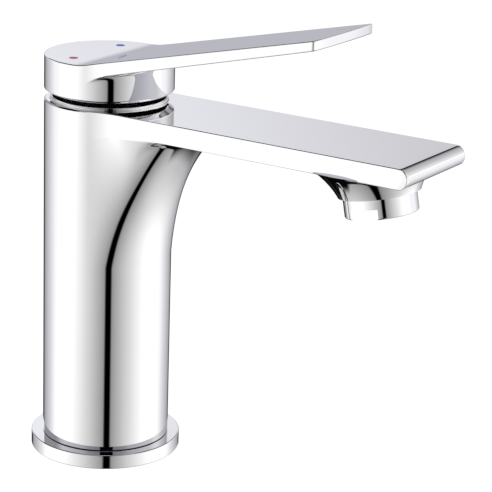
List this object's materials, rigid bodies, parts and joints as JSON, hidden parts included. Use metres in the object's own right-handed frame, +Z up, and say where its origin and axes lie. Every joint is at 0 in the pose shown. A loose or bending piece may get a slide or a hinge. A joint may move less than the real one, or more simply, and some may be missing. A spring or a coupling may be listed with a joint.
{
  "type": "bathroom basin mixer faucet",
  "caption": "Single-lever basin mixer: round chrome body, flat bar spout, round hub with a long flat lever, tilted aerator.",
  "frame": {"origin": "centre of the base, on the deck that the mixer stands on", "axes": "+Z up along the body, +X along the spout towards the outlet, -Y the hot side"},
  "size_m": [0.1582, 0.0544, 0.1673],
  "materials": {
    "chrome": "polished chrome plate on brass",
    "brass": "machined",
    "rubber": "black EPDM",
    "ceramic": "lapped alumina, off-white",
    "grey_plastic": "moulded acetal",
    "white_plastic": "moulded acetal",
    "black_plastic": "moulded",
    "steel": "ground stainless",
    "red": "gloss enamel",
    "blue": "gloss enamel"
  },
  "bodies": {
    "faucet_body": {"body_casting": "chrome", "inlet_block": "brass", "foot_gasket": "rubber", "base_plate": "chrome", "base_gasket": "rubber", "body_seal": "rubber", "cartridge_base": "white_plastic", "hot_port_seal": "rubber", "cold_port_seal": "rubber", "outlet_port_seal": "rubber", "fixed_ceramic_disc": "ceramic", "cartridge_housing": "grey_plastic", "retaining_nut": "brass", "trim_ring": "chrome", "aerator_ring": "chrome", "aerator_grid": "grey_plastic", "aerator_insert": "white_plastic", "flow_regulator": "black_plastic", "aerator_screen": "steel", "aerator_washer": "rubber"},
    "swivel": {"lever_guide": "white_plastic", "guide_seal": "rubber", "pivot_pin": "steel"},
    "handle": {"lever_handle": "chrome", "lever_stem": "brass", "set_screw": "steel", "screw_plug": "grey_plastic", "hot_dot": "red", "cold_dot": "blue"},
    "moving_disc": {"moving_ceramic_disc": "ceramic", "disc_carrier": "grey_plastic"}
  },
  "joints": [
    {"name": "temperature_turn", "type": "hinge", "parent": "faucet_body", "child": "swivel", "pos_m": [0, 0, 0.112], "axis": [0, 0, 1], "range_deg": [-45, 45]},
    {"name": "lever_lift", "type": "hinge", "parent": "swivel", "child": "handle", "pos_m": [0, 0, 0.112], "axis": [0, -1, 0], "range_deg": [0, 20]},
    {"name": "disc_slide", "type": "slide", "parent": "swivel", "child": "moving_disc", "axis": [1, 0, 0], "range_m": [0, 0.0036]}
  ],
  "couplings": [
    {"joint": "disc_slide", "follows": "lever_lift", "m_per_rad": 0.01}
  ]
}
